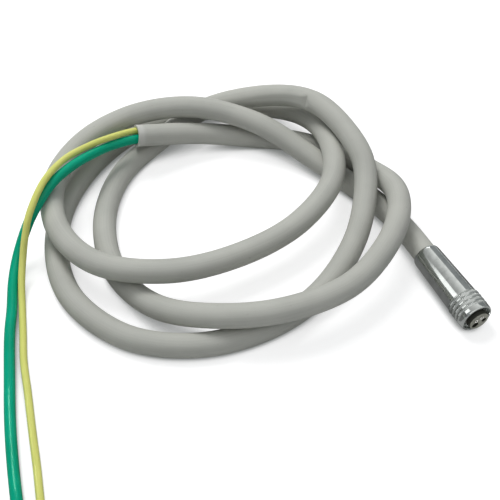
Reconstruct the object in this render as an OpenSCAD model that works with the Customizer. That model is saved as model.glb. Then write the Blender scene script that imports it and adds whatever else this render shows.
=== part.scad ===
// Hose of a high speed dental handpiece, lying in loose loops, with a four-port screw coupling.
// The coupling lies along Y with its mouth towards -Y, and the table is z = 0.

/* [Coupling nut] */
// length of the nut
nut_len = 37; // [36.5:0.5:38]
// wall of the nut under the grip's grooves
grip_wall = 0.6; // [0.5:0.05:0.8]
// number of grip ridges
ridge_count = 4; // [3:1:5]
// distance from ridge to ridge
ridge_pitch = 1.9; // [1.7:0.1:2]
// height of a ridge over its groove
ridge_depth = 0.5; // [0.3:0.05:0.6]
// length of the plain rim in front of the ridges
rim_len = 2.4; // [2:0.1:2.8]
// wall of the plain rim
rim_wall = 0.95; // [0.8:0.05:1.05]
// bevel around the outside of the rim
rim_bevel = 0.5; // [0.3:0.05:0.55]
// bevel at the mouth of the thread
mouth_bevel = 0.2; // [0.1:0.05:0.25]
// wall of the barrel next to the grip
barrel_wall = 0.75; // [0.65:0.05:0.9]
// wall of the barrel at the hose end
rear_wall = 0.75; // [0.6:0.05:0.9]
// length of the rounding at the hose end
rear_round_len = 2; // [1.5:0.1:3]
// wall left at the hose end of the rounding
rear_lip = 0.2; // [0.1:0.05:0.3]
// play of the nut on the hose
nut_play = 0.25; // [0.2:0.05:0.35]
// width of the shoulder that pulls on the slip washer
shoulder_w = 0.65; // [0.6:0.05:0.8]
// travel of the nut from rest to the flange
nut_forward = 8; // [6:0.5:8]

/* [Connector core] */
// diameter of the nose and of the gasket on it
nose_d = 8.8; // [8.6:0.1:9.4]
// length of the nose with its gasket
nose_len = 9.5; // [9:0.5:10]
// height of the gasket's face over the rim of the nut
nose_proud = 1.5; // [1:0.1:2]
// thickness of the flange that the nut pulls on
flange_t = 2.2; // [1.8:0.1:2.4]
// length of the body behind the flange
body_len = 5.2; // [5:0.1:5.4]
// depth of the socket for the hose barb
socket_depth = 3; // [2.5:0.1:3]
// thickness of the rubber face gasket
gasket_t = 2.2; // [1.6:0.1:2.6]
// bevel around the gasket's face
gasket_bevel = 0.3; // [0.2:0.05:0.5]
// section of the ring that brakes the nut
o_ring_d = 1; // [0.9:0.05:1.1]
// thickness of the slip washer
washer_t = 0.8; // [0.6:0.1:1]

/* [Ports] */
// turn of the port pattern in the coupling
face_turn = 20; // [15:1:25]
// distance of the two large ports from the middle line
large_x = 2; // [2:0.05:2.1]
// drop of the two large ports below the centre
large_y = 0.9; // [0.85:0.05:1]
// angle of each small port from the middle line
small_half = 34; // [30:1:36]
// bore of the exhaust port
exhaust_d = 2.9; // [2.6:0.1:2.9]
// bore of the drive air port
drive_d = 2.2; // [2:0.1:2.3]
// depth of the drive air port in the metal
drive_depth = 9; // [8.5:0.1:9.2]
// bore of the exhaust port's way into the hose
exhaust_way_d = 2.2; // [2:0.1:2.3]
// depth of the exhaust port in the metal
exhaust_depth = 10.5; // [10:0.1:10.8]
// wall of the two small port tubes
liner_wall = 0.17; // [0.14:0.01:0.2]
// wall of the water port tube behind its port
water_way_wall = 0.4; // [0.38:0.01:0.45]
// depth of the two small ports
small_depth = 8; // [7:0.5:8]
// height of the small port tubes over the gasket
liner_proud = 0.3; // [0.2:0.05:0.5]

/* [Hose end] */
// wall of the hose barb
barb_wall = 0.48; // [0.4:0.02:0.5]
// length of the hose barb in the hose
barb_len = 10.5; // [10:0.1:10.5]
// number of barbs
barb_count = 3; // [2:1:4]
// height of a barb over the stem
barb_rise = 0.07; // [0.05:0.01:0.08]
// how far the ferrule presses the hose in
neck_squeeze = 0.35; // [0.3:0.05:0.4]
// length of the pressed neck
neck_len = 9; // [8.8:0.1:9.2]
// play of the nut on the ferrule
ferrule_play = 0.2; // [0.15:0.05:0.25]
// length of the ferrule
ferrule_len = 8; // [7:0.1:8]
// wall of the drive air spigot
spigot_wall = 0.34; // [0.25:0.01:0.4]
// length of the spigots inside the tubes
spigot_grip = 5; // [4:0.5:6]

/* [Hose and tubes] */
// outside diameter of the hose
hose_d = 10; // [9.9:0.05:10]
// wall of the hose
hose_wall = 1; // [0.94:0.02:1.04]
// outside diameter of the drive air tube
drive_tube_d = 4.3; // [4.2:0.05:4.35]
// wall of the drive air tube
drive_tube_wall = 0.9; // [0.85:0.01:0.95]
// outside diameter of the water tube
water_tube_d = 2.9; // [2.8:0.05:2.95]
// wall of the water tube
water_tube_wall = 0.7; // [0.66:0.01:0.72]
// play of the tubes in the hose
tube_play = 0.15; // [0.12:0.01:0.2]
// place of the water tube around the hose at the cut end, in degrees
cut_turn = 135; // [110:5:150]

/* [Hidden] */
$fn = 48;
round_steps = 6;
hose_sides = 12;
tube_sides = 8;
rings_per_point = 2;
gap_steps = 4;
neck_rings = 2;
near_rings = 6;
lie_share = 0.4;
groove_ratio = 1.5;
crimp_count = 2;
through = 1;
press_gap = 0.02;
run_gap = 0.1;
ring_gap = 0.05;
stop_gap = 0.05;
plug_len = 1.5;
ferrule_setback = 0.8;
crimp_depth = 0.08;
crimp_width = 0.8;
flare_len = 2;
bed = 0.2;

// radii that follow from the hose, its tubes and the fits, with flats where a round piece sits in a facet
hose_r = hose_d / 2;
hose_bore_r = hose_r - hose_wall;
hose_flat_r = hose_bore_r * cos(180 / hose_sides);
neck_r = hose_r - neck_squeeze;
drive_tube_r = drive_tube_d / 2;
drive_bore_r = drive_tube_r - drive_tube_wall;
water_tube_r = water_tube_d / 2;
water_bore_r = water_tube_r - water_tube_wall;
spigot_r = drive_bore_r * cos(180 / tube_sides) - press_gap;
liner_r = water_bore_r * cos(180 / tube_sides) - press_gap;
liner_bore_r = liner_r - liner_wall;
water_way_r = liner_r - water_way_wall;
barb_r = hose_flat_r - press_gap - barb_rise;
barb_bore_r = barb_r - barb_wall;
socket_r = barb_r + press_gap;
spigot_hole_r = spigot_r + press_gap;
liner_hole_r = liner_r + press_gap;
nut_bore_r = hose_r + nut_play;
thread_r = nut_bore_r + shoulder_w;
grip_root_r = thread_r + grip_wall;
grip_r = grip_root_r + ridge_depth;
rim_r = thread_r + rim_wall;
barrel_front_r = thread_r + barrel_wall;
barrel_rear_r = nut_bore_r + rear_wall;
flange_r = thread_r - run_gap;
washer_r = thread_r - run_gap;
washer_hole_r = nut_bore_r + ring_gap;
body_r = nut_bore_r - ring_gap - o_ring_d / 2;
groove_r = body_r - o_ring_d / 2;
groove_width = groove_ratio * o_ring_d;
ferrule_bore_r = neck_r + press_gap;
ferrule_r = nut_bore_r - ferrule_play;
nose_r = nose_d / 2;

// heights and stations along the axis of the coupling, counted towards the mouth
axis_z = grip_r;
span = nut_len + nose_proud;
nose_at = span / 2;
rim_at = nose_at - nose_proud;
nut_rear_at = -span / 2;
metal_at = nose_at - gasket_t;
flange_front_at = nose_at - nose_len;
flange_rear_at = flange_front_at - flange_t;
core_rear_at = flange_rear_at - body_len;
groove_at = (flange_rear_at + core_rear_at) / 2;
socket_at = core_rear_at + socket_depth;
shoulder_at = flange_rear_at - stop_gap - nut_forward - washer_t - stop_gap;
rim_rear_at = rim_at - rim_len;
grip_rear_at = rim_rear_at - ridge_count * ridge_pitch;
liner_top_at = nose_at + liner_proud;
small_floor_at = nose_at - small_depth;
chip_end_at = small_floor_at - plug_len;
drive_floor_at = metal_at - drive_depth;
exhaust_floor_at = metal_at - exhaust_depth;
barb_end_at = core_rear_at - barb_len;
neck_end_at = core_rear_at - neck_len;
tube_start_at = neck_end_at - flare_len;
spigot_end_at = tube_start_at - spigot_grip;
ferrule_at = core_rear_at - ferrule_setback;

// places of the ports on the face, seen from the front
drive_offset = hose_flat_r - drive_tube_r - tube_play;
water_offset = hose_flat_r - water_tube_r - tube_play;
exhaust_pos = turned([-large_x, -large_y]);
exhaust_way_pos = unit(exhaust_pos) * (barb_bore_r - exhaust_way_d / 2 - press_gap);
drive_pos = turned([large_x, -large_y]);
water_pos = turned(water_offset * [-sin(small_half), cos(small_half)]);
chip_pos = turned(water_offset * [sin(small_half), cos(small_half)]);
water_angle = atan2(water_pos.y, water_pos.x);
drive_stub_pos = -drive_offset / water_offset * water_pos;

// path of the hose from the straight run behind the nut to its cut end: x, y and lift off the table
hose_lie = lie_share * hose_d;
axis_lift = axis_z - hose_lie;
hose_path = [
    [0, 15, axis_lift], [0, 33, axis_lift], [-1, 50, 2], [-5, 69, 0.5], [-16, 94, 4],
    [-32, 117, 11.5], [-55, 135, 15.5], [-82, 142, 15.5], [-109, 136, 14], [-129, 118, 12],
    [-136, 91, 11], [-127, 65, 11.5], [-102, 49.5, 11], [-72, 47, 9.5], [-43, 52.5, 10],
    [-18.5, 68, 12], [-7.5, 92.5, 12.5], [-8, 119, 7], [-23.5, 139.5, 2], [-50, 150, 0],
    [-79, 149, 0], [-106, 136, 0], [-127, 115, 0], [-139, 89, 0], [-140.5, 61, 0],
    [-127.5, 34.5, 0], [-104, 19, 0], [-76, 15, 0], [-48, 21.5, 1.5], [-23, 38, 6.5],
    [-6, 61, 14], [-3, 79.5, 20.5], [-7, 106.5, 22.5], [-21, 127.5, 16.5], [-47, 141, 8],
    [-75, 136, 1], [-98.5, 122, 0], [-114.5, 98, 0], [-120, 69, 0], [-112.5, 42.5, 2.5],
    [-94, 22.5, 9], [-68, 12, 11.5], [-39, 13, 11.5], [-13, 27, 14], [2, 48, 13],
    [4, 74.5, 4], [-8, 102, 0], [-30, 119, 0], [-58, 128, 6], [-87, 130, 13.5]
];

// free end of the drive air tube from the cut of the hose to its own cut: x, y and height of its centre
drive_tail = [
    [-100, 126.5, 19], [-111.5, 121, 22], [-122, 115, 24], [-132, 108.5, 24], [-142, 101, 20],
    [-148.5, 97, 13.5], [-155, 90.5, 6.5], [-160, 81, 3], [-164, 68.5, 2.15], [-168.5, 55, 2.15],
    [-173.5, 36, 2.15], [-178, 18, 2.15], [-181.5, 1, 2.15], [-184.5, -17, 2.15], [-187, -36, 2.15],
    [-189, -57, 2.15]
];

// free end of the water tube, the same way
water_tail = [
    [-98.5, 128.5, 22.2], [-110.5, 124.5, 24.5], [-123.5, 117.5, 27], [-135, 107.5, 27.5], [-144.5, 97, 23.5],
    [-149.5, 91, 17], [-153.5, 85.5, 9.5], [-157, 78, 4.5], [-160, 68, 1.7], [-163, 56, 1.45],
    [-166.5, 42, 1.45], [-169, 27, 1.45], [-172, 10, 1.45], [-174.5, -5, 1.45], [-177.5, -21, 1.45],
    [-180, -38, 1.45], [-182, -56, 1.45]
];

function turned(p) = [
    p.x * cos(face_turn) - p.y * sin(face_turn),
    p.x * sin(face_turn) + p.y * cos(face_turn)
];

function unit(v) = v / norm(v);

function blend(a, b, c, d, t) =
    0.5 * (2 * b + (c - a) * t + (2 * a - 5 * b + 4 * c - d) * t * t + (3 * b - a - 3 * c + d) * t * t * t);

// smooth line through the points, with n steps from each to the next
function smooth(p, n) = [
    for (i = [0 : len(p) - 2])
        let (a = i == 0 ? 2 * p[0] - p[1] : p[i - 1])
        let (d = i == len(p) - 2 ? 2 * p[i + 1] - p[i] : p[i + 2])
        for (k = [0 : n - 1]) blend(a, p[i], p[i + 1], d, k / n),
    p[len(p) - 1]
];

function direction(line, i) = unit(line[min(i + 1, len(line) - 1)] - line[max(i - 1, 0)]);

function sideways(t) = unit(cross([0, 0, 1], t));

// point beside a line at a distance and an angle around it
function beside(c, t, r, a) = c + r * (cos(a) * sideways(t) + sin(a) * cross(t, sideways(t)));

function lifted(p) = [p.x, p.y, max(p.z, 0) + hose_lie];

function floored(p, low) = [p.x, p.y, max(p.z, low)];

hose_run = concat(
    [[0, -core_rear_at, axis_z], [0, -neck_end_at, axis_z], [0, -tube_start_at, axis_z]],
    [for (p = smooth(hose_path, rings_per_point)) lifted(p)]
);
hose_radii = [for (i = [0 : len(hose_run) - 1]) i < neck_rings ? neck_r : hose_r];

// line of a tube in the hose: it starts on its spigot and winds slowly to its place at the cut
function inner_run(offset, from, to) = [
    for (i = [neck_rings : len(hose_run) - 1])
        let (part = (i - neck_rings) / (len(hose_run) - 1 - neck_rings))
        beside(hose_run[i], direction(hose_run, i), offset, from + (to - from) * part)
];

function with_tail(run, tail) = concat(
    run,
    let (line = smooth(concat([run[len(run) - 2], run[len(run) - 1]], tail), rings_per_point))
    [for (i = [rings_per_point + 1 : len(line) - 1]) line[i]]
);

start_turn = 180 - water_angle;
drive_run = with_tail(inner_run(drive_offset, start_turn + 180, cut_turn + 180), drive_tail);
water_run = with_tail(inner_run(water_offset, start_turn, cut_turn), water_tail);

function same(r, line) = [for (p = line) r];

function ring(line, i, r, sides, low) = [
    for (k = [0 : sides - 1])
        floored(beside(line[i], direction(line, i), r, 360 * (k + 0.5) / sides), low)
];

function run_length(line) = sum([for (i = [1 : len(line) - 1]) norm(line[i] - line[i - 1])]);
function sum(v, i = 0) = i < len(v) ? v[i] + sum(v, i + 1) : 0;

// least distance of the hose to its own other loops, on points along its chords
hose_dots = [
    for (i = [0 : len(hose_run) - 2])
        for (k = [0 : gap_steps - 1]) hose_run[i] + (hose_run[i + 1] - hose_run[i]) * k / gap_steps
];
near = near_rings * gap_steps;
least_gap = min([
    for (i = [0 : len(hose_dots) - near - 1])
        for (j = [i + near : len(hose_dots) - 1]) norm(hose_dots[i] - hose_dots[j])
]) - hose_d;
echo("least gap of the hose to itself", least_gap);
echo("length of the hose", run_length(hose_run));
echo("length of the drive air tube", run_length(drive_run));
echo("length of the water tube", run_length(water_run));

// places the axis of the coupling, with z towards the mouth
module on_axis() {
    translate([0, 0, axis_z]) rotate([90, 0, 0]) children();
}

// round hole or rod along the axis of the coupling
module rod(pos, from, to, r) {
    translate([pos.x, pos.y, from]) cylinder(h = to - from, r = r);
}

// hollow tube along a line, closed at both ends by its wall
module tube_along(line, radii, bore_r, sides) {
    n = len(line);
    skin = [for (i = [0 : n - 1]) each ring(line, i, radii[i], sides, 0)];
    bore = [for (i = [0 : n - 1]) each ring(line, i, bore_r, sides, bed)];
    m = n * sides;
    last = m - sides;
    walls = [
        for (i = [0 : n - 2])
            for (k = [0 : sides - 1])
                let (a = i * sides + k)
                let (b = i * sides + (k + 1) % sides)
                each [
                    [a, a + sides, b],
                    [b, a + sides, b + sides],
                    [m + a, m + b, m + a + sides],
                    [m + b, m + b + sides, m + a + sides]
                ]
    ];
    ends = [
        for (k = [0 : sides - 1])
            let (j = (k + 1) % sides)
            each [
                [k, m + j, m + k],
                [k, j, m + j],
                [last + k, m + last + k, m + last + j],
                [last + k, m + last + j, last + j]
            ]
    ];
    polyhedron(points = concat(skin, bore), faces = concat(walls, ends), convexity = 10);
}

module outer_hose() {
    color([0.68, 0.68, 0.64]) tube_along(hose_run, hose_radii, hose_bore_r, hose_sides);
}

module drive_air_tube() {
    color([0.02, 0.55, 0.4])
        tube_along(drive_run, same(drive_tube_r, drive_run), drive_bore_r, tube_sides);
}

module water_tube() {
    color([0.78, 0.8, 0.4])
        tube_along(water_run, same(water_tube_r, water_run), water_bore_r, tube_sides);
}

module coupling_nut() {
    lip_r = nut_bore_r + rear_lip;
    rear_arc = [
        for (i = [0 : round_steps])
            let (t = 90 * i / round_steps)
            [lip_r + (barrel_rear_r - lip_r) * sin(t), nut_rear_at + rear_round_len * (1 - cos(t))]
    ];
    top = ridge_pitch / 4;
    foot = 3 * top;
    ridges = [
        for (i = [0 : ridge_count - 1])
            let (mid = grip_rear_at + (i + 0.5) * ridge_pitch)
            each [
                [grip_root_r, mid - foot / 2], [grip_r, mid - top / 2],
                [grip_r, mid + top / 2], [grip_root_r, mid + foot / 2]
            ]
    ];
    outside = concat(
        rear_arc,
        [[barrel_front_r, grip_rear_at], [grip_root_r, grip_rear_at]],
        ridges,
        [[grip_root_r, rim_rear_at], [rim_r, rim_rear_at]],
        [[rim_r, rim_at - rim_bevel], [rim_r - rim_bevel, rim_at]]
    );
    inside = [
        [thread_r + mouth_bevel, rim_at],
        [thread_r, rim_at - mouth_bevel],
        [thread_r, shoulder_at],
        [nut_bore_r, shoulder_at],
        [nut_bore_r, nut_rear_at]
    ];
    color([0.75, 0.75, 0.74]) on_axis() rotate_extrude() polygon(concat(outside, inside));
}

module slip_washer() {
    rear_at = shoulder_at + stop_gap;
    color([0.6, 0.58, 0.5]) on_axis() difference() {
        rod([0, 0], rear_at, rear_at + washer_t, washer_r);
        rod([0, 0], rear_at - through, rear_at + washer_t + through, washer_hole_r);
    }
}

module connector_core() {
    profile = [
        [0, metal_at], [nose_r, metal_at], [nose_r, flange_front_at],
        [flange_r, flange_front_at], [flange_r, flange_rear_at], [body_r, flange_rear_at],
        [body_r, groove_at + groove_width / 2], [groove_r, groove_at + groove_width / 2],
        [groove_r, groove_at - groove_width / 2], [body_r, groove_at - groove_width / 2],
        [body_r, core_rear_at], [socket_r, core_rear_at], [socket_r, socket_at], [0, socket_at]
    ];
    color([0.62, 0.62, 0.6]) on_axis() difference() {
        rotate_extrude() polygon(profile);
        rod(exhaust_pos, exhaust_floor_at, metal_at + through, exhaust_d / 2);
        rod(exhaust_way_pos, socket_at - through, exhaust_floor_at + through, exhaust_way_d / 2);
        rod(drive_pos, drive_floor_at, metal_at + through, drive_d / 2);
        rod(drive_stub_pos, socket_at - through, drive_floor_at + flange_t, spigot_hole_r);
        rod(water_pos, socket_at - through, metal_at + through, liner_hole_r);
        rod(chip_pos, chip_end_at, metal_at + through, liner_hole_r);
    }
}

module face_gasket() {
    color([0.48, 0.48, 0.43]) on_axis() difference() {
        rotate_extrude() polygon([
            [0, metal_at], [nose_r, metal_at], [nose_r, nose_at - gasket_bevel],
            [nose_r - gasket_bevel, nose_at], [0, nose_at]
        ]);
        rod(exhaust_pos, metal_at - through, nose_at + through, exhaust_d / 2);
        rod(drive_pos, metal_at - through, nose_at + through, drive_d / 2);
        rod(water_pos, metal_at - through, nose_at + through, liner_hole_r);
        rod(chip_pos, metal_at - through, nose_at + through, liner_hole_r);
    }
}

module water_port_tube() {
    color([0.8, 0.8, 0.78]) on_axis() difference() {
        rod(water_pos, spigot_end_at, liner_top_at, liner_r);
        rod(water_pos, small_floor_at, liner_top_at + through, liner_bore_r);
        rod(water_pos, spigot_end_at - through, small_floor_at + through, water_way_r);
    }
}

module chip_air_port_tube() {
    color([0.8, 0.8, 0.78]) on_axis() difference() {
        rod(chip_pos, small_floor_at, liner_top_at, liner_r);
        rod(chip_pos, small_floor_at - through, liner_top_at + through, liner_bore_r);
    }
}

module chip_air_plug() {
    color([0.7, 0.6, 0.35]) on_axis()
        rod(chip_pos, chip_end_at, small_floor_at - press_gap, liner_r);
}

module drive_air_spigot() {
    color([0.8, 0.8, 0.78]) on_axis() difference() {
        rod(drive_stub_pos, spigot_end_at, drive_floor_at, spigot_r);
        rod(drive_stub_pos, spigot_end_at - through, drive_floor_at + through, spigot_r - spigot_wall);
    }
}

module core_o_ring() {
    color([0.08, 0.08, 0.08]) on_axis()
        translate([0, 0, groove_at]) rotate_extrude() translate([body_r, 0]) circle(d = o_ring_d);
}

module hose_barb() {
    step = barb_len / (barb_count + 1);
    barbs = [
        for (i = [0 : barb_count - 1])
            let (at = barb_end_at + i * step)
            each [[barb_r, at], [barb_r + barb_rise, at + step / 2], [barb_r, at + step / 2]]
    ];
    color([0.62, 0.62, 0.6]) on_axis() rotate_extrude() polygon(concat(
        [[barb_bore_r, barb_end_at]],
        barbs,
        [[barb_r, socket_at], [barb_bore_r, socket_at]]
    ));
}

module hose_ferrule() {
    crimps = [
        for (i = [1 : crimp_count])
            let (at = ferrule_at - ferrule_len * i / (crimp_count + 1))
            each [
                [ferrule_r, at + crimp_width / 2], [ferrule_r - crimp_depth, at + crimp_width / 4],
                [ferrule_r - crimp_depth, at - crimp_width / 4], [ferrule_r, at - crimp_width / 2]
            ]
    ];
    color([0.62, 0.62, 0.6]) on_axis() rotate_extrude() polygon(concat(
        [[ferrule_bore_r, ferrule_at], [ferrule_r, ferrule_at]],
        crimps,
        [[ferrule_r, ferrule_at - ferrule_len], [ferrule_bore_r, ferrule_at - ferrule_len]]
    ));
}

outer_hose();
drive_air_tube();
water_tube();
coupling_nut();
slip_washer();
connector_core();
face_gasket();
water_port_tube();
chip_air_port_tube();
chip_air_plug();
drive_air_spigot();
core_o_ring();
hose_barb();
hose_ferrule();
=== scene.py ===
import math

import bpy
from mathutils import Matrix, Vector


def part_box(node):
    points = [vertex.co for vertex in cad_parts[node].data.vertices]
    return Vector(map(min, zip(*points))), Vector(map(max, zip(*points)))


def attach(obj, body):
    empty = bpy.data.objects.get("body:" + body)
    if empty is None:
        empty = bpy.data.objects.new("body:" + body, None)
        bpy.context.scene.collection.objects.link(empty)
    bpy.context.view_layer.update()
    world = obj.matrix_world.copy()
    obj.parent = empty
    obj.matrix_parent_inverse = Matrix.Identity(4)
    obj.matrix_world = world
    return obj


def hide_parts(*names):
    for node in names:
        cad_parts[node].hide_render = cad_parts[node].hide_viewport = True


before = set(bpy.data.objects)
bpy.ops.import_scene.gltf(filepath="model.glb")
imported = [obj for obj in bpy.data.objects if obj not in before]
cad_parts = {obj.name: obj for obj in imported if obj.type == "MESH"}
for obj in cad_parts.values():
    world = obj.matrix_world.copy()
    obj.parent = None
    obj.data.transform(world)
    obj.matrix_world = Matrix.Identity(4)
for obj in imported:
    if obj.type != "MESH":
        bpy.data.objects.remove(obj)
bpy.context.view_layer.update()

NUT_LOW, NUT_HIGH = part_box("coupling_nut")
GASKET_FRONT_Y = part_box("face_gasket")[0].y
AXIS_Z = (NUT_LOW.z + NUT_HIGH.z) / 2

# Camera
CAMERA_PLACE = Vector((-0.16993, -0.17134, 0.28165))
CAMERA_AIM = Vector((-0.06276, 0.0585, 0))
CAMERA_LENS_MM = 63.36
CAMERA_SENSOR_MM = 36

# Hose, which is narrower in the nut and lies on the table a little flattened
HOSE_R = 0.005
HOSE_BORE_R = 0.004
HOSE_START_Y = -0.00235
NECK_R = 0.00465
NECK_END_Y = 0.00665
FLARE_END_Y = 0.00865
FLARE_STEPS = 4
HOSE_LIE = 0.004
HOSE_BED = 0.0002
HOSE_SIDES = 48
CUT_ROUND = 0.00022
WAVE_HEIGHT = 0.000018
LONG_WAVE = 0.0131
SHORT_WAVE = 0.0047
STEPS_PER_POINT = 12

# Two inner tubes, which turn slowly round each other in the hose from their start to the cut
DRIVE_TUBE_R = 0.00215
DRIVE_BORE_R = 0.00125
DRIVE_OFFSET = 0.001564
WATER_TUBE_R = 0.00145
WATER_BORE_R = 0.00075
WATER_OFFSET = 0.002264
TUBE_SIDES = 20
TUBE_ROUND = 0.0001
TUBE_SHARP = math.radians(40)
START_TURN = math.radians(36)
CUT_TURN = math.radians(135)

# Route of the hose from the straight run behind the nut to its cut end: x, y and lift off the table
HOSE_ROUTE = (
    (0, 0.015, 0.003), (0, 0.033, 0.003), (-0.001, 0.05, 0.002), (-0.005, 0.069, 0.0005),
    (-0.016, 0.094, 0.004), (-0.032, 0.117, 0.0115), (-0.055, 0.135, 0.0155), (-0.082, 0.142, 0.0155),
    (-0.109, 0.136, 0.014), (-0.129, 0.118, 0.012), (-0.136, 0.091, 0.011), (-0.127, 0.065, 0.0115),
    (-0.102, 0.0495, 0.011), (-0.072, 0.047, 0.0095), (-0.043, 0.0525, 0.01), (-0.0185, 0.068, 0.012),
    (-0.0075, 0.0925, 0.0125), (-0.008, 0.119, 0.007), (-0.0235, 0.1395, 0.002), (-0.05, 0.15, 0),
    (-0.079, 0.149, 0), (-0.106, 0.136, 0), (-0.127, 0.115, 0), (-0.139, 0.089, 0), (-0.1405, 0.061, 0),
    (-0.1275, 0.0345, 0), (-0.104, 0.019, 0), (-0.076, 0.015, 0), (-0.048, 0.0215, 0.0015),
    (-0.023, 0.038, 0.0065), (-0.006, 0.061, 0.014), (-0.003, 0.0795, 0.0205), (-0.007, 0.1065, 0.0225),
    (-0.021, 0.1275, 0.0165), (-0.047, 0.141, 0.008), (-0.075, 0.136, 0.001), (-0.0985, 0.122, 0),
    (-0.1145, 0.098, 0), (-0.12, 0.069, 0), (-0.1125, 0.0425, 0.0025), (-0.094, 0.0225, 0.009),
    (-0.068, 0.012, 0.0115), (-0.039, 0.013, 0.0115), (-0.013, 0.027, 0.014), (0.002, 0.048, 0.013),
    (0.004, 0.0745, 0.004), (-0.008, 0.102, 0), (-0.03, 0.119, 0), (-0.058, 0.128, 0.006),
    (-0.087, 0.13, 0.0135),
)

# Free ends of the two tubes from the cut of the hose to their own cuts: x, y and height of the centre
DRIVE_TAIL = (
    (-0.1, 0.1265, 0.019), (-0.1115, 0.121, 0.022), (-0.122, 0.115, 0.024), (-0.132, 0.1085, 0.024),
    (-0.142, 0.101, 0.02), (-0.1485, 0.097, 0.0135), (-0.155, 0.0905, 0.0065), (-0.16, 0.081, 0.003),
    (-0.164, 0.0685, 0.00215), (-0.1685, 0.055, 0.00215), (-0.1735, 0.036, 0.00215),
    (-0.178, 0.018, 0.00215), (-0.1815, 0.001, 0.00215), (-0.1845, -0.017, 0.00215),
    (-0.187, -0.036, 0.00215), (-0.189, -0.057, 0.00215),
)
WATER_TAIL = (
    (-0.0985, 0.1285, 0.0222), (-0.1105, 0.1245, 0.0245), (-0.1235, 0.1175, 0.027),
    (-0.135, 0.1075, 0.0275), (-0.1445, 0.097, 0.0235), (-0.1495, 0.091, 0.017),
    (-0.1535, 0.0855, 0.0095), (-0.157, 0.078, 0.0045), (-0.16, 0.068, 0.0017),
    (-0.163, 0.056, 0.00145), (-0.1665, 0.042, 0.00145), (-0.169, 0.027, 0.00145),
    (-0.172, 0.01, 0.00145), (-0.1745, -0.005, 0.00145), (-0.1775, -0.021, 0.00145),
    (-0.18, -0.038, 0.00145), (-0.182, -0.056, 0.00145),
)

# Crease of the hose, which starts in a short fold; the hose has more rings there
CREASE_PLACE = Vector((-0.0078, 0.1092, 0.0262))
CREASE_TURN = math.radians(20)
CREASE_DEPTH = 0.0004
CREASE_BEFORE = 0.0025
CREASE_AFTER = 0.045
FOLD_DEPTH = 0.0009
FOLD_HALF = 0.0042
FOLD_REACH = 0.012
FOLD_STEPS = 5

# Coupling nut, with depths counted from its mouth towards the hose
NUT_LENGTH = NUT_HIGH.y - NUT_LOW.y
NUT_BORE_R = 0.00525
NUT_SHARP = math.radians(32)
RIM_R = 0.00685
RIM_LENGTH = 0.0024
RIM_BEVEL = 0.0005
RIM_BEVEL_LENGTH = 0.0014
MOUTH_BEVEL = 0.0002
GRIP_R = 0.007
GRIP_ROOT_R = 0.0065
RIDGE_COUNT = 4
RIDGE_PITCH = 0.0019
RIDGE_TOP = RIDGE_PITCH / 8
RIDGE_FOOT = 3 * RIDGE_TOP
RIDGE_EDGE = 0.00006
GRIP_END = RIM_LENGTH + RIDGE_COUNT * RIDGE_PITCH
KNURL_TEETH = 72
KNURL_DEPTH = 0.00016
KNURL_ON_EDGE = 0.8
STEPS_PER_TOOTH = 4
BARREL_FRONT_R = 0.00665
BARREL_REAR_R = 0.006
BARREL_EDGE = 0.0001
REAR_ROUND_LENGTH = 0.002
REAR_LIP_R = 0.00545
ROUND_STEPS = 8
ROUND_ANGLES = [math.pi / 2 * k / ROUND_STEPS for k in range(ROUND_STEPS + 1)]
SHOULDER_DEPTH = 0.0191
THREAD_R = 0.0059
THREAD_CUT = 0.0003
THREAD_PITCH = 0.0009
THREAD_TURNS = 10
THREAD_START = 0.0006
RINGS_PER_TURN = 6

# Colours of the finishes, as they look in plain light
SILICONE_LIGHT = (0.52, 0.522, 0.476, 1)
SILICONE_SHADE = (0.46, 0.464, 0.424, 1)
SILICONE_DUST = (0.36, 0.355, 0.32, 1)
SILICONE_CUT = (0.66, 0.655, 0.62, 1)
DRIVE_GREEN = (0.0005, 0.42, 0.25, 1)
DRIVE_GREEN_DEEP = (0.0003, 0.36, 0.205, 1)
WATER_YELLOW = (0.8, 0.81, 0.235, 1)
WATER_YELLOW_DEEP = (0.7, 0.72, 0.19, 1)
CHROME_LIGHT = (0.73, 0.76, 0.735, 1)
CHROME_DULL = (0.51, 0.54, 0.52, 1)
GROOVE_GRIME = (0.16, 0.165, 0.15, 1)
NICKEL_LIGHT = (0.62, 0.61, 0.57, 1)
NICKEL_DULL = (0.42, 0.41, 0.38, 1)
STEEL_LIGHT = (0.84, 0.84, 0.81, 1)
STEEL_DULL = (0.66, 0.66, 0.63, 1)
BRASS_LIGHT = (0.72, 0.56, 0.28, 1)
BRASS_DULL = (0.46, 0.34, 0.17, 1)
GASKET_LIGHT = (0.41, 0.41, 0.345, 1)
GASKET_SHADE = (0.33, 0.33, 0.275, 1)
# Painted shade on the side of the gasket and on the walls of its holes
GASKET_PAINTED_SHADE = (0.05, 0.052, 0.042, 1)
RING_BLACK = (0.03, 0.03, 0.029, 1)
RING_BLOOM = (0.07, 0.07, 0.066, 1)
WASHER_LIGHT = (0.72, 0.7, 0.64, 1)
WASHER_SHADE = (0.6, 0.58, 0.52, 1)

# Silicone of the hose: scales of its patterns per metre, the bands they are cut to, and what each one adds
HOSE_CLOUD_SCALE = 48
HOSE_GRAIN_SCALE = 4200
HOSE_LINE_SCALES = (1900, 9, 0)
HOSE_SPECK_SCALE = 620
HOSE_SPECK_BAND = (0.74, 0.79)
HOSE_TONE_BAND = (0.36, 0.62)
HOSE_CLOUD_TONE = 0.5
HOSE_LINE_TONE = 0.3
HOSE_GRAIN_TONE = 0.2
HOSE_DUST_SHARE = 0.3
HOSE_ROUGHNESS = 0.46
HOSE_CLOUD_ROUGHNESS = 0.14
HOSE_LINE_ROUGHNESS = 0.06
HOSE_SPECULAR = 0.3
HOSE_GRAIN_RELIEF = 0.6
HOSE_LINE_RELIEF = 0.5
HOSE_RELIEF = 0.00003

# Clean edge at the cut of the hose: how far before the cut it starts and is full, and its share
CLEAN_STARTS = 0.004
CLEAN_FULL = 0.0015
CLEAN_SHARE = 0.6

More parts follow.
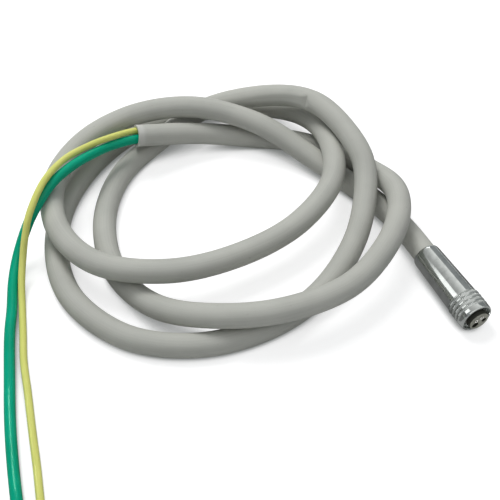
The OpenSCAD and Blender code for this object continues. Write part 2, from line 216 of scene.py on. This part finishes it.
# Plastic of the two tubes
TUBE_CLOUD_SCALE = 70
TUBE_LINE_SCALES = (3200, 14, 0)
TUBE_SCUFF_SCALES = (900, 160, 0)
TUBE_SCUFF_BAND = (0.58, 0.72)
TUBE_TONE_BAND = (0.36, 0.64)
TUBE_CLOUD_TONE = 0.55
TUBE_LINE_TONE = 0.45
TUBE_ROUGHNESS = 0.22
TUBE_LINE_ROUGHNESS = 0.08
TUBE_SCUFF_ROUGHNESS = 0.14
TUBE_SPECULAR = 0.14
TUBE_RELIEF = 0.00002

# Turned and drawn metal of the small parts
METAL_CLOUD_SCALE = 260
METAL_RING_SCALES = (40, 1500, 40)
METAL_SCRATCH_SCALES = (5200, 520, 5200)
METAL_SCRATCH_BAND = (0.62, 0.68)
METAL_TONE_BAND = (0.3, 0.75)
METAL_RING_ROUGHNESS = 0.08
METAL_CLOUD_ROUGHNESS = 0.1
METAL_SCRATCH_ROUGHNESS = 0.08
METAL_RING_RELIEF = 0.5
METAL_SCRATCH_RELIEF = 0.3
METAL_RELIEF = 0.000008
NICKEL_ROUGHNESS = 0.24
BRASS_ROUGHNESS = 0.22
FERRULE_ROUGHNESS = 0.26
LINER_ROUGHNESS = 0.16
LINER_EDGE = 0.0001

# Chrome of the nut
CHROME_CLOUD_SCALE = 190
CHROME_RING_SCALES = (60, 2600, 60)
CHROME_SMEAR_SCALES = (420, 130, 420)
CHROME_SMEAR_BAND = (0.4, 0.75)
CHROME_SCRATCH_SCALES = (900, 6200, 900)
CHROME_SCRATCH_BAND = (0.66, 0.7)
CHROME_TONE_BAND = (0.35, 0.8)
CHROME_GRIME = 0.05
CHROME_CLOUD_GRIME = 0.2
CHROME_GRIME_COVER = 0.4
CHROME_ROUGHNESS = 0.1
CHROME_RING_ROUGHNESS = 0.03
CHROME_SMEAR_ROUGHNESS = 0.04
CHROME_SCRATCH_ROUGHNESS = 0.04
CHROME_GRIME_ROUGHNESS = 0.3
CHROME_RING_RELIEF = 0.4
CHROME_SCRATCH_RELIEF = 0.1
CHROME_RELIEF = 0.000002

# Rubber of the gasket and the ring, and plastic of the washer
RUBBER_CLOUD_SCALE = 620
RUBBER_GRAIN_SCALE = 6500
RUBBER_MARK_SCALE = 1500
RUBBER_MARK_BAND = (0.6, 0.7)
RUBBER_TONE_BAND = (0.35, 0.65)
RUBBER_CLOUD_TONE = 0.6
RUBBER_GRAIN_TONE = 0.4
RUBBER_ROUGHNESS = 0.5
RUBBER_CLOUD_ROUGHNESS = 0.2
RUBBER_MARK_POLISH = 0.12
RUBBER_GRAIN_RELIEF = 0.7
RUBBER_MARK_RELIEF = 0.4
RUBBER_RELIEF = 0.00002
GASKET_ROUGHNESS = 0.45
GASKET_SPECULAR = 0.1
GASKET_CLOUD_RELIEF = 0.4
# Band behind the front of the face over which the painted shade sets in
GASKET_FACE_BAND = (0.00006, 0.00024)

# Sockets of a Mix node that take and give colours
MIX_FIRST_COLOUR = 6
MIX_SECOND_COLOUR = 7
MIX_COLOUR_OUT = 2

# Studio
WHITE = (1, 1, 1, 1)
BLACK = (0, 0, 0, 1)
FLOOR_HALF = 20
FLOOR_SEEN = (0.5, 0.5, 0.5, 1)
# Dark grey of the painted shade in the floor's gaps, then the reach and band of open sky that set it
FLOOR_PAINTED_SHADE = (0.25, 0.26, 0.255, 1)
FLOOR_SHARED = (0.75, 0.75, 0.75, 1)
FLOOR_GLOW = 0.7
GAP_REACH = 0.011
GAP_BAND = (0.2, 0.62)
WORLD_COLOUR = (0.93, 0.97, 1, 1)
WORLD_LEVEL = 0.29

# Soft lights: place, size, watts, and whether matt and shiny surfaces take their light
PANELS = {
    "main_panel": (Vector((-0.17, 0.72, 1.1)), 0.5, 9.6, True, False),
    "fill_panel": (Vector((-0.1, -0.2, 1.2)), 1.2, 3, True, False),
    "gleam_panel": (Vector((0.33, 0.87, 0.83)), 0.5, 2.4, False, True),
}

# Cards that only shiny surfaces mirror, painted reflections that light nothing and cast no shadow: height,
# level at the left and at the right, and corners
MIRROR_CARDS = {
    "left_card": (0.1, 0.17, 0.13, ((-1.2, -0.1), (-0.208, -0.1), (-0.208, 1.2), (-1.2, 1.2))),
    "rear_card": (0.1, 0.17, 0.42, ((-0.208, 0.144), (-0.0633, 0.074), (-0.0633, 0.4), (-0.208, 0.4))),
    # Painted reflection: a bright streak along the chrome of the nut
    "streak_card": (0.1, 1.6, 1.4, ((-0.208, 0.06), (-0.0633, 0.01), (-0.0633, 0.074), (-0.208, 0.144))),
    "middle_card": (0.5, 0.42, 1, ((-0.333, -0.1), (0.6, -0.1), (0.15, 0.8), (-0.333, 0.8))),
    "front_card": (0.5, 0.8, 0.7, ((-0.6, -1.6), (1.2, -1.6), (1.2, -0.12), (-0.6, -0.12))),
    # Cards on the floor: painted shade in the nut's reflection of the white floor
    "floor_card": (0.0003, 0.17, 0.17, ((-0.6, -0.0125), (0.6, -0.0125), (0.6, 0.13), (-0.6, 0.13))),
    "near_card": (0.0002, 0.36, 0.36, ((-0.6, -0.2), (0.6, -0.2), (0.6, -0.0125), (-0.6, -0.0125))),
    "mouth_card": (
        0.0003, 0.17, 0.17, ((-0.006, -0.0214), (0.02, -0.0214), (0.02, -0.0125), (-0.006, -0.0125)),
    ),
    # Painted glint: a bright card that only the ends of the port tubes mirror
    "face_card": (
        0.0003, 2.8, 2.8, ((0.0018, -0.0256), (0.008, -0.0256), (0.008, -0.0218), (0.0018, -0.0218)),
    ),
    # Painted shade in the reflections of the two tubes, and a painted highlight along the green tube from
    # the gleam card
    "shade_card": (0.0125, 0.05, 0.05, ((-0.2, -0.025), (-0.165, -0.025), (-0.15, 0.06), (-0.185, 0.06))),
    "gleam_card": (
        0.012, 28, 28, ((-0.1838, -0.008), (-0.1814, -0.008), (-0.1725, 0.035), (-0.1749, 0.035)),
    ),
}


class Value:
    """One output of a node; arithmetic on it adds Math nodes beside it."""

    def __init__(self, finish, socket):
        self.finish = finish
        self.socket = socket

    def math(self, operation, first, second):
        return self.finish.node("ShaderNodeMath", {"operation": operation}, {0: first, 1: second})

    def __add__(self, other):
        return self.math("ADD", self, other)

    def __sub__(self, other):
        return self.math("SUBTRACT", self, other)

    def __mul__(self, other):
        return self.math("MULTIPLY", self, other)

    def __rsub__(self, other):
        return self.math("SUBTRACT", other, self)

    def __pow__(self, other):
        return self.math("POWER", self, other)

    __radd__ = __add__
    __rmul__ = __mul__


class Finish:
    """Node tree of a material or of the world."""

    def __init__(self, owner):
        owner.use_nodes = True
        self.owner = owner
        self.tree = owner.node_tree
        self.tree.nodes.clear()

    def node(self, kind, settings=None, sockets=None, output=0):
        made = self.tree.nodes.new(kind)
        for name, setting in (settings or {}).items():
            setattr(made, name, setting)
        for name, value in (sockets or {}).items():
            if isinstance(value, Value):
                self.tree.links.new(value.socket, made.inputs[name])
            else:
                made.inputs[name].default_value = value
        return Value(self, made.outputs[output]) if len(made.outputs) else None

    def place(self):
        return self.node("ShaderNodeTexCoord", output="Object")

    def along(self):
        """Way around a tube and way along it, both in metres."""
        return self.node("ShaderNodeUVMap", {"uv_map": "along"})

    def noise(self, vector, scale, detail=2):
        return self.node("ShaderNodeTexNoise", None, {"Vector": vector, "Scale": scale, "Detail": detail})

    def streaks(self, vector, scales, detail=2):
        """Noise with a scale of its own for each axis."""
        stretched = self.node("ShaderNodeVectorMath", {"operation": "MULTIPLY"}, {0: vector, 1: scales})
        return self.noise(stretched, 1, detail)

    def band(self, value, low, high):
        """0 below the band, 1 above it, and a smooth rise within."""
        settings = {"interpolation_type": "SMOOTHSTEP"}
        return self.node("ShaderNodeMapRange", settings, {"Value": value, "From Min": low, "From Max": high})

    def blend(self, factor, first, second):
        sockets = {0: factor, MIX_FIRST_COLOUR: first, MIX_SECOND_COLOUR: second}
        return self.node("ShaderNodeMix", {"data_type": "RGBA"}, sockets, MIX_COLOUR_OUT)

    def part(self, vector, axis):
        return self.node("ShaderNodeSeparateXYZ", None, {0: vector}, axis)

    def from_axis(self, vector):
        """Distance of a point from the axis of the coupling."""
        across = self.part(vector, "X")
        above = self.part(vector, "Z") - AXIS_Z
        return (across * across + above * above) ** 0.5

    def bump(self, height, depth, edge=0):
        """Normal of a surface with fine relief, and with rounded edges where an edge is given."""
        sockets = {"Height": height, "Distance": depth}
        if edge > 0:
            sockets["Normal"] = self.node("ShaderNodeBevel", None, {"Radius": edge})
        return self.node("ShaderNodeBump", None, sockets)

    def close(self, shader, kind="ShaderNodeOutputMaterial"):
        self.node(kind, None, {"Surface": shader})
        return self.owner

    def surface(self, sockets):
        return self.close(self.node("ShaderNodeBsdfPrincipled", None, sockets))


def new_finish(name):
    return Finish(bpy.data.materials.new(name))


# Finishes

def silicone_finish(cut_at):
    """Silicone of the hose: clouds, lines from its making, specks of dust and a clean edge at the cut."""
    finish = new_finish("hose_silicone")
    place = finish.place()
    along = finish.along()
    cloud = finish.noise(place, HOSE_CLOUD_SCALE, detail=3)
    grain = finish.noise(place, HOSE_GRAIN_SCALE)
    lines = finish.streaks(along, HOSE_LINE_SCALES)
    specks = finish.band(finish.noise(place, HOSE_SPECK_SCALE, detail=1), *HOSE_SPECK_BAND)
    tone = HOSE_CLOUD_TONE * cloud + HOSE_LINE_TONE * lines + HOSE_GRAIN_TONE * grain
    colour = finish.blend(finish.band(tone, *HOSE_TONE_BAND), SILICONE_SHADE, SILICONE_LIGHT)
    clean = finish.band(finish.part(along, "Y"), cut_at - CLEAN_STARTS, cut_at - CLEAN_FULL)
    colour = finish.blend(CLEAN_SHARE * clean, colour, SILICONE_CUT)
    return finish.surface({
        "Base Color": finish.blend(HOSE_DUST_SHARE * specks, colour, SILICONE_DUST),
        "Roughness": HOSE_ROUGHNESS + HOSE_CLOUD_ROUGHNESS * cloud + HOSE_LINE_ROUGHNESS * lines,
        "Specular IOR Level": HOSE_SPECULAR,
        "Normal": finish.bump(HOSE_GRAIN_RELIEF * grain + HOSE_LINE_RELIEF * lines, HOSE_RELIEF),
    })


def tube_finish(name, light, deep):
    """Extruded plastic: fine lines along the tube, soft clouds and a few scuffs."""
    finish = new_finish(name)
    along = finish.along()
    lines = finish.streaks(along, TUBE_LINE_SCALES)
    cloud = finish.noise(finish.place(), TUBE_CLOUD_SCALE)
    scuffs = finish.band(finish.streaks(along, TUBE_SCUFF_SCALES, detail=3), *TUBE_SCUFF_BAND)
    tone = finish.band(TUBE_CLOUD_TONE * cloud + TUBE_LINE_TONE * lines, *TUBE_TONE_BAND)
    return finish.surface({
        "Base Color": finish.blend(tone, deep, light),
        "Roughness": TUBE_ROUGHNESS + TUBE_LINE_ROUGHNESS * lines + TUBE_SCUFF_ROUGHNESS * scuffs,
        "Specular IOR Level": TUBE_SPECULAR,
        "Normal": finish.bump(lines, TUBE_RELIEF),
    })


def metal_finish(name, light, dull, roughness, edge=0):
    """Turned metal: fine rings around the axis, dull clouds and small scratches."""
    finish = new_finish(name)
    place = finish.place()
    rings = finish.streaks(place, METAL_RING_SCALES)
    cloud = finish.noise(place, METAL_CLOUD_SCALE, detail=3)
    scratches = finish.band(finish.streaks(place, METAL_SCRATCH_SCALES), *METAL_SCRATCH_BAND)
    wear = METAL_CLOUD_ROUGHNESS * cloud + METAL_SCRATCH_ROUGHNESS * scratches
    relief = METAL_RING_RELIEF * rings + METAL_SCRATCH_RELIEF * scratches
    return finish.surface({
        "Base Color": finish.blend(finish.band(cloud, *METAL_TONE_BAND), light, dull),
        "Metallic": 1,
        "Roughness": roughness + METAL_RING_ROUGHNESS * rings + wear,
        "Normal": finish.bump(relief, METAL_RELIEF, edge),
    })


def chrome_finish():
    """Chrome of the nut: fine turning rings, dull smears, small scratches and grime in the grooves."""
    finish = new_finish("nut_chrome")
    place = finish.place()
    rings = finish.streaks(place, CHROME_RING_SCALES)
    cloud = finish.noise(place, CHROME_CLOUD_SCALE, detail=3)
    smear = finish.band(finish.streaks(place, CHROME_SMEAR_SCALES, detail=4), *CHROME_SMEAR_BAND)
    scratches = finish.band(finish.streaks(place, CHROME_SCRATCH_SCALES, detail=1), *CHROME_SCRATCH_BAND)
    depth = finish.part(place, "Y") - NUT_LOW.y
    in_grip = finish.band(depth, RIM_LENGTH - BARREL_EDGE, RIM_LENGTH)
    in_grip = in_grip * (1 - finish.band(depth, GRIP_END, GRIP_END + BARREL_EDGE))
    low = 1 - finish.band(finish.from_axis(place), GRIP_ROOT_R + RIDGE_EDGE, GRIP_R - KNURL_DEPTH)
    grime = in_grip * low * (CHROME_GRIME + CHROME_CLOUD_GRIME * cloud)
    colour = finish.blend(finish.band(cloud, *CHROME_TONE_BAND), CHROME_LIGHT, CHROME_DULL)
    turned = CHROME_ROUGHNESS + CHROME_RING_ROUGHNESS * rings
    wear = CHROME_SMEAR_ROUGHNESS * smear + CHROME_SCRATCH_ROUGHNESS * scratches
    relief = CHROME_RING_RELIEF * rings + CHROME_SCRATCH_RELIEF * scratches
    return finish.surface({
        "Base Color": finish.blend(grime, colour, GROOVE_GRIME),
        "Metallic": 1 - CHROME_GRIME_COVER * grime,
        "Roughness": turned + wear + CHROME_GRIME_ROUGHNESS * grime,
        "Normal": finish.bump(relief, CHROME_RELIEF),
    })


def rubber_patterns(finish, light, dark):
    """Clouds and grain of rubber, and its colour by both."""
    place = finish.place()
    cloud = finish.noise(place, RUBBER_CLOUD_SCALE, detail=3)
    grain = finish.noise(place, RUBBER_GRAIN_SCALE)
    tone = RUBBER_CLOUD_TONE * cloud + RUBBER_GRAIN_TONE * grain
    return cloud, grain, finish.blend(finish.band(tone, *RUBBER_TONE_BAND), dark, light)


def rubber_finish(name, light, dark):
    """Matt rubber or plastic with a few polished marks."""
    finish = new_finish(name)
    cloud, grain, colour = rubber_patterns(finish, light, dark)
    marks = finish.band(finish.noise(finish.place(), RUBBER_MARK_SCALE), *RUBBER_MARK_BAND)
    return finish.surface({
        "Base Color": colour,
        "Roughness": RUBBER_ROUGHNESS + RUBBER_CLOUD_ROUGHNESS * cloud - RUBBER_MARK_POLISH * marks,
        "Normal": finish.bump(RUBBER_GRAIN_RELIEF * grain + RUBBER_MARK_RELIEF * marks, RUBBER_RELIEF),
    })


def gasket_finish():
    """Grey rubber with a paler face, and painted shade on its side and in its holes, everything behind the
    face.
    """
    finish = new_finish("gasket_rubber")
    cloud, grain, face = rubber_patterns(finish, GASKET_LIGHT, GASKET_SHADE)
    # Painted shade: all that lies behind the front of the face, its side and the walls of its holes, turns
    # nearly black
    painted_shade_behind = finish.band(finish.part(finish.place(), "Y") - GASKET_FRONT_Y, *GASKET_FACE_BAND)
    return finish.surface({
        "Base Color": finish.blend(painted_shade_behind, face, GASKET_PAINTED_SHADE),
        "Roughness": GASKET_ROUGHNESS + RUBBER_CLOUD_ROUGHNESS * cloud,
        "Specular IOR Level": GASKET_SPECULAR,
        "Normal": finish.bump(RUBBER_GRAIN_RELIEF * grain + GASKET_CLOUD_RELIEF * cloud, RUBBER_RELIEF),
    })


# Lines and meshes

def ease(t):
    """Smooth rise from 0 to 1 as t goes from 0 to 1."""
    return t * t * (3 - 2 * t)


def zigzag(turns):
    """Straight rise from 0 to 1 and fall back to 0 in every turn."""
    return 1 - abs(2 * (turns % 1) - 1)


def smooth_line(points, steps):
    """Smooth line through the points, with the given steps from each to the next."""
    points = [Vector(p) for p in points]
    points = [2 * points[0] - points[1]] + points + [2 * points[-1] - points[-2]]
    line = []
    for a, b, c, d in zip(points, points[1:], points[2:], points[3:]):
        for k in range(steps):
            t = k / steps
            bend = (2 * a - 5 * b + 4 * c - d) * t ** 2 + (3 * b - a - 3 * c + d) * t ** 3
            line.append(0.5 * (2 * b + (c - a) * t + bend))
    return line + [points[-2]]


def heading(line, i):
    return (line[min(i + 1, len(line) - 1)] - line[max(i - 1, 0)]).normalized()


def beside(line, i, distance, angle):
    """Point beside a line at a distance from it and an angle around it."""
    ahead = heading(line, i)
    side = Vector((0, 0, 1)).cross(ahead).normalized()
    return line[i] + distance * (math.cos(angle) * side + math.sin(angle) * ahead.cross(side))


def line_lengths(line):
    """Length of a line from its start to each of its points."""
    lengths = [0]
    for a, b in zip(line, line[1:]):
        lengths.append(lengths[-1] + (b - a).length)
    return lengths


def link_rings(name, rings, marks, material, sharp):
    """Object with quads between neighbouring rings of points, and from the last ring back to the first.

    The mark of a ring is its length around and its way along, for the map that the finishes read.
    """
    sides = len(rings[0])
    faces = []
    corner_marks = []
    for i in range(len(rings)):
        j = (i + 1) % len(rings)
        for k in range(sides):
            m = (k + 1) % sides
            faces.append((i * sides + k, i * sides + m, j * sides + m, j * sides + k))
            around = ((k, i), (k + 1, i), (k + 1, j), (k, j))
            corner_marks += [(step / sides * marks[row][0], marks[row][1]) for step, row in around]
    mesh = bpy.data.meshes.new(name)
    mesh.from_pydata([tuple(p) for ring in rings for p in ring], [], faces)
    layer = mesh.uv_layers.new(name="along")
    for loop, mark in zip(layer.data, corner_marks):
        loop.uv = mark
    mesh.shade_smooth()
    mesh.set_sharp_from_angle(angle=sharp)
    mesh.materials.append(material)
    obj = bpy.data.objects.new(name, mesh)
    bpy.context.scene.collection.objects.link(obj)
    return obj


def ring_around(line, i, radius, sides, low, dent):
    """Ring of points around a line, pressed flat on the floor and where it has a dent."""
    ring = []
    for k in range(sides):
        angle = 2 * math.pi * k / sides - math.pi / 2
        facing = math.cos(angle - CREASE_TURN)
        r = min(radius, (radius - dent) / facing) if facing > 0 else radius
        p = beside(line, i, r, angle)
        p.z = max(p.z, low)
        ring.append(p)
    return ring


def hollow_tube(name, line, radii, dents, bore_r, round_r, sides, bed, material):
    """Tube along a line with its bore and with rounded edges at both cuts."""
    lengths = line_lengths(line)
    last = len(line) - 1
    stations = [(i, radii[i] - (round_r if i in (0, last) else 0), 0) for i in range(last + 1)]
    stations.append((last, bore_r + round_r, 0))
    stations += [(i, bore_r, bed) for i in range(last, -1, -1)]
    stations.append((0, bore_r + round_r, 0))
    rings = [ring_around(line, i, r, sides, low, dents[i]) for i, r, low in stations]
    marks = [(2 * math.pi * r, lengths[i]) for i, r, low in stations]
    return link_rings(name, rings, marks, material, TUBE_SHARP)


# Hose and tubes

def hose_line(steps):
    """Centre of the hose in two stretches: straight in the nut, and in loops from there to the cut."""
    straight = [HOSE_START_Y]
    straight += [NECK_END_Y + (FLARE_END_Y - NECK_END_Y) * k / FLARE_STEPS for k in range(FLARE_STEPS + 1)]
    start = [Vector((0, y, AXIS_Z)) for y in straight]
    route = [(x, y, lift + HOSE_LIE) for x, y, lift in HOSE_ROUTE]
    loops = smooth_line(route, steps)
    for p in loops:
        p.z = max(p.z, HOSE_LIE)
    return start, loops


def flare_radius(y):
    t = min(max((y - NECK_END_Y) / (FLARE_END_Y - NECK_END_Y), 0), 1)
    return NECK_R + (HOSE_R - NECK_R) * ease(t)


def crease_dents(line, lengths):
    """Depth of the crease at each point of the hose: it starts with a fold and runs out along the hose."""
    nearest = min(range(len(line)), key=lambda i: (line[i] - CREASE_PLACE).length)
    dents = []
    for length in lengths:
        past = length - lengths[nearest]
        share = 1 - past / CREASE_AFTER if past > 0 else 1 + past / CREASE_BEFORE
        fold = max(1 - abs(past) / FOLD_HALF, 0)
        dents.append(CREASE_DEPTH * ease(max(share, 0)) + FOLD_DEPTH * fold * fold)
    return dents


def outer_hose():
    start, loops = hose_line(STEPS_PER_POINT * FOLD_STEPS)
    at_fold = [(p - CREASE_PLACE).length < FOLD_REACH for p in loops]
    line = start + [p for i, p in enumerate(loops) if at_fold[i] or i % FOLD_STEPS == 0]
    end = heading(line, len(line) - 1)
    line.insert(-1, line[-1] - end * CUT_ROUND)
    lengths = line_lengths(line)
    radii = [flare_radius(p.y) for p in start]
    for length in lengths[len(start):]:
        waves = math.sin(length / LONG_WAVE) + math.sin(length / SHORT_WAVE)
        radii.append(HOSE_R + WAVE_HEIGHT * waves)
    dents = crease_dents(line, lengths)
    material = silicone_finish(lengths[-1])
    obj = hollow_tube("hose", line, radii, dents, HOSE_BORE_R, CUT_ROUND, HOSE_SIDES, HOSE_BED, material)
    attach(obj, "hose_end")
    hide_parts("outer_hose")


def inner_tube(name, node, offset, turn, tail, radius, bore_r, material):
    """Tube from its spigot through the hose, winding slowly to its place at the cut, and on to its end."""
    start, loops = hose_line(STEPS_PER_POINT)
    run = [start[-1]] + loops
    line = []
    for i in range(len(run)):
        angle = START_TURN + (CUT_TURN - START_TURN) * i / (len(run) - 1) + turn
        line.append(beside(run, i, offset, angle))
    half = STEPS_PER_POINT // 2
    free = smooth_line([line[-1 - half], line[-1]] + list(tail), STEPS_PER_POINT)
    line += free[STEPS_PER_POINT + 1:]
    radii = [radius] * len(line)
    dents = [0] * len(line)
    obj = hollow_tube(name, line, radii, dents, bore_r, TUBE_ROUND, TUBE_SIDES, 0, material)
    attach(obj, "hose_end")
    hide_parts(node)


# Coupling nut

def nut_outside():
    """Rings of the outside from the mouth to the hose: depth, radius and share of the knurl."""
    rings = [(0, THREAD_R + MOUTH_BEVEL, 0)]
    for angle in ROUND_ANGLES:
        depth = RIM_BEVEL_LENGTH * (1 - math.cos(angle))
        rings.append((depth, RIM_R - RIM_BEVEL * (1 - math.sin(angle)), 0))
    rings += [(RIM_LENGTH - BARREL_EDGE, RIM_R, 0), (RIM_LENGTH, RIM_R - BARREL_EDGE, 0)]
    rings.append((RIM_LENGTH, GRIP_ROOT_R, 0))
    rise = [(RIDGE_FOOT, GRIP_ROOT_R, 0), (RIDGE_TOP + RIDGE_EDGE, GRIP_R - RIDGE_EDGE, KNURL_ON_EDGE)]
    rise.append((RIDGE_TOP, GRIP_R, 1))
    for i in range(RIDGE_COUNT):
        middle = RIM_LENGTH + (i + 0.5) * RIDGE_PITCH
        rings += [(middle - shift, r, knurl) for shift, r, knurl in rise]
        rings += [(middle + shift, r, knurl) for shift, r, knurl in reversed(rise)]
    rings += [(GRIP_END, GRIP_ROOT_R, 0), (GRIP_END, BARREL_FRONT_R - BARREL_EDGE, 0)]
    rings.append((GRIP_END + BARREL_EDGE, BARREL_FRONT_R, 0))
    round_from = NUT_LENGTH - REAR_ROUND_LENGTH
    for angle in ROUND_ANGLES:
        r = REAR_LIP_R + (BARREL_REAR_R - REAR_LIP_R) * math.cos(angle)
        rings.append((round_from + REAR_ROUND_LENGTH * math.sin(angle), r, 0))
    return rings


def nut_inside():
    """Rings of the inside from the hose to the mouth: depth, radius and share of the thread's cut."""
    rings = [(NUT_LENGTH, NUT_BORE_R, 0), (SHOULDER_DEPTH, NUT_BORE_R, 0), (SHOULDER_DEPTH, THREAD_R, 0)]
    thread_length = THREAD_TURNS * THREAD_PITCH
    count = THREAD_TURNS * RINGS_PER_TURN
    for k in range(count + 1):
        share = min(1, k / RINGS_PER_TURN, (count - k) / RINGS_PER_TURN)
        rings.append((THREAD_START + thread_length * (1 - k / count), THREAD_R, share))
    rings.append((MOUTH_BEVEL, THREAD_R, 0))
    return rings


def nut_point(depth, r, turn):
    angle = 2 * math.pi * turn
    return Vector((r * math.sin(angle), NUT_LOW.y + depth, AXIS_Z + r * math.cos(angle)))


def coupling_nut(material):
    """Nut with teeth on the ridges of its grip and a thread inside."""
    steps = KNURL_TEETH * STEPS_PER_TOOTH
    turns = [k / steps for k in range(steps)]
    rings = []
    marks = []
    for depth, r, knurl in nut_outside():
        cuts = [knurl * KNURL_DEPTH * zigzag(KNURL_TEETH * turn) for turn in turns]
        rings.append([nut_point(depth, r - cut, turn) for cut, turn in zip(cuts, turns)])
        marks.append((2 * math.pi * r, depth))
    for depth, r, share in nut_inside():
        cuts = [share * THREAD_CUT * zigzag(depth / THREAD_PITCH + turn) for turn in turns]
        rings.append([nut_point(depth, r + cut, turn) for cut, turn in zip(cuts, turns)])
        marks.append((2 * math.pi * r, depth))
    obj = link_rings("nut", rings, marks, material, NUT_SHARP)
    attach(obj, "nut")
    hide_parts("coupling_nut")


# Small parts of the coupling, which keep their solids

def dress_small_parts():
    nickel = metal_finish("core_nickel", NICKEL_LIGHT, NICKEL_DULL, NICKEL_ROUGHNESS)
    drawn_steel = metal_finish("port_steel", STEEL_LIGHT, STEEL_DULL, LINER_ROUGHNESS, LINER_EDGE)
    materials = {
        "slip_washer": rubber_finish("washer_plastic", WASHER_LIGHT, WASHER_SHADE),
        "connector_core": nickel,
        "hose_barb": nickel,
        "face_gasket": gasket_finish(),
        "water_port_tube": drawn_steel,
        "chip_air_port_tube": drawn_steel,
        "drive_air_spigot": drawn_steel,
        "chip_air_plug": metal_finish("plug_brass", BRASS_LIGHT, BRASS_DULL, BRASS_ROUGHNESS),
        "core_o_ring": rubber_finish("ring_rubber", RING_BLOOM, RING_BLACK),
        "hose_ferrule": metal_finish("ferrule_steel", STEEL_LIGHT, STEEL_DULL, FERRULE_ROUGHNESS),
    }
    for node, material in materials.items():
        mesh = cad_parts[node].data
        mesh.materials.clear()
        mesh.materials.append(material)


# Studio

def aimed_from(place):
    """Turn of a camera or lamp that looks from its place at the point that the camera looks at."""
    return (CAMERA_AIM - place).to_track_quat("-Z", "Y").to_euler()


def make_camera():
    data = bpy.data.cameras.new("camera")
    data.lens = CAMERA_LENS_MM
    data.sensor_width = CAMERA_SENSOR_MM
    obj = bpy.data.objects.new("camera", data)
    obj.location = CAMERA_PLACE
    obj.rotation_euler = aimed_from(CAMERA_PLACE)
    bpy.context.scene.collection.objects.link(obj)
    bpy.context.scene.camera = obj


def seen_directly(finish):
    """1 for rays from the camera and through mirrors or glass, 0 for the light that surfaces share."""
    path = "ShaderNodeLightPath"
    seen = finish.node(path, output="Is Camera Ray") + finish.node(path, output="Is Glossy Ray")
    return finish.band(seen + finish.node(path, output="Is Transmission Ray"), 0, 1)


def flat_card(name, corners, height, material):
    mesh = bpy.data.meshes.new(name)
    mesh.from_pydata([(x, y, height) for x, y in corners], [], [(0, 1, 2, 3)])
    mesh.materials.append(material)
    obj = bpy.data.objects.new(name, mesh)
    bpy.context.scene.collection.objects.link(obj)
    return obj


def make_floor():
    """Floor that looks white, with painted shade in the gaps under and between the strands of the hose."""
    finish = new_finish("floor")
    seen = seen_directly(finish)
    # Painted shade: where little open sky reaches the floor, its colour and its glow both turn dark grey
    sky = finish.node("ShaderNodeAmbientOcclusion", None, {"Distance": GAP_REACH}, "AO")
    open_share = finish.band(sky, *GAP_BAND)
    colour = finish.blend(seen, FLOOR_SHARED, finish.blend(open_share, FLOOR_PAINTED_SHADE, FLOOR_SEEN))
    table = finish.node("ShaderNodeBsdfDiffuse", None, {"Color": colour})
    shine = finish.blend(seen, BLACK, finish.blend(open_share, FLOOR_PAINTED_SHADE, WHITE))
    glow = finish.node("ShaderNodeEmission", None, {"Color": shine, "Strength": FLOOR_GLOW})
    material = finish.close(finish.node("ShaderNodeAddShader", None, {0: table, 1: glow}))
    far = FLOOR_HALF
    flat_card("floor", ((-far, -far), (far, -far), (far, far), (-far, far)), 0, material)


def grey(level):
    return (level, level, level, 1)


def card_colour(finish, corners, left_level, right_level):
    """Grey of a card's glow, which goes from its left level to its right one."""
    if left_level == right_level:
        return grey(left_level)
    left = min(x for x, y in corners)
    right = max(x for x, y in corners)
    share = finish.band(finish.part(finish.place(), "X"), left, right)
    return finish.blend(share, grey(left_level), grey(right_level))


def make_mirror_cards():
    for name, (height, left_level, right_level, corners) in MIRROR_CARDS.items():
        finish = new_finish(name)
        colour = card_colour(finish, corners, left_level, right_level)
        # Each card glows only in reflections: a painted reflection, not a lamp
        material = finish.close(finish.node("ShaderNodeEmission", None, {"Color": colour}))
        card = flat_card(name, corners, height, material)
        card.visible_camera = False
        card.visible_diffuse = False
        card.visible_shadow = False


def make_world():
    world = bpy.data.worlds.new("studio")
    bpy.context.scene.world = world
    finish = Finish(world)
    sockets = {"Color": WORLD_COLOUR, "Strength": WORLD_LEVEL}
    finish.close(finish.node("ShaderNodeBackground", None, sockets), "ShaderNodeOutputWorld")


def make_panels():
    for name, (place, size, watts, matt, shiny) in PANELS.items():
        data = bpy.data.lights.new(name, "AREA")
        data.shape = "SQUARE"
        data.size = size
        data.energy = watts
        obj = bpy.data.objects.new(name, data)
        obj.location = place
        obj.rotation_euler = aimed_from(place)
        obj.visible_diffuse = matt
        obj.visible_glossy = shiny
        bpy.context.scene.collection.objects.link(obj)


# The whole scene, camera and cords first

make_camera()
outer_hose()
inner_tube(
    "drive_tube", "drive_air_tube", DRIVE_OFFSET, math.pi, DRIVE_TAIL, DRIVE_TUBE_R,
    DRIVE_BORE_R, tube_finish("drive_tube_plastic", DRIVE_GREEN, DRIVE_GREEN_DEEP),
)
inner_tube(
    "water_tube_run", "water_tube", WATER_OFFSET, 0, WATER_TAIL, WATER_TUBE_R,
    WATER_BORE_R, tube_finish("water_tube_plastic", WATER_YELLOW, WATER_YELLOW_DEEP),
)
coupling_nut(chrome_finish())
dress_small_parts()
make_floor()
make_mirror_cards()
make_world()
make_panels()
bpy.context.scene.view_settings.view_transform = "Standard"
